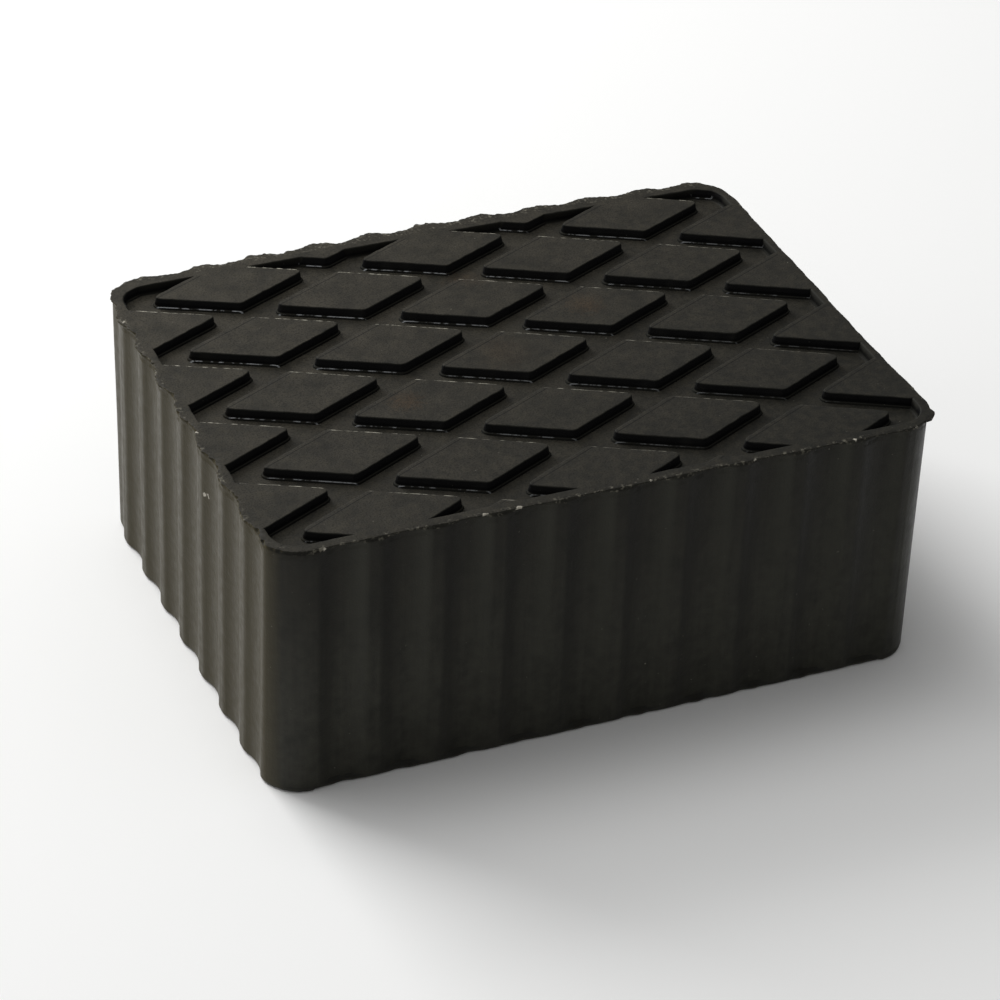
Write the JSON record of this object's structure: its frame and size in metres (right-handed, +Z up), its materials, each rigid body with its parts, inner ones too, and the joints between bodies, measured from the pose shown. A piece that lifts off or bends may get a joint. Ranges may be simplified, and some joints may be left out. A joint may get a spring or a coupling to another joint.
{
  "type": "rubber lift block",
  "caption": "Rectangular black rubber spacer block with fluted upright sides, rounded corners and a raised diamond tread inside a plain rim on its top face.",
  "frame": {"origin": "middle of the underside, on the surface that the block rests on", "axes": "+X along the long side, +Y along the short side, +Z up through the tread"},
  "size_m": [0.16, 0.12, 0.064],
  "materials": {
    "black_rubber": "moulded matte black rubber with a slight sheen"
  },
  "bodies": {
    "root": {"rubber_block": "black_rubber"}
  },
  "joints": []
}
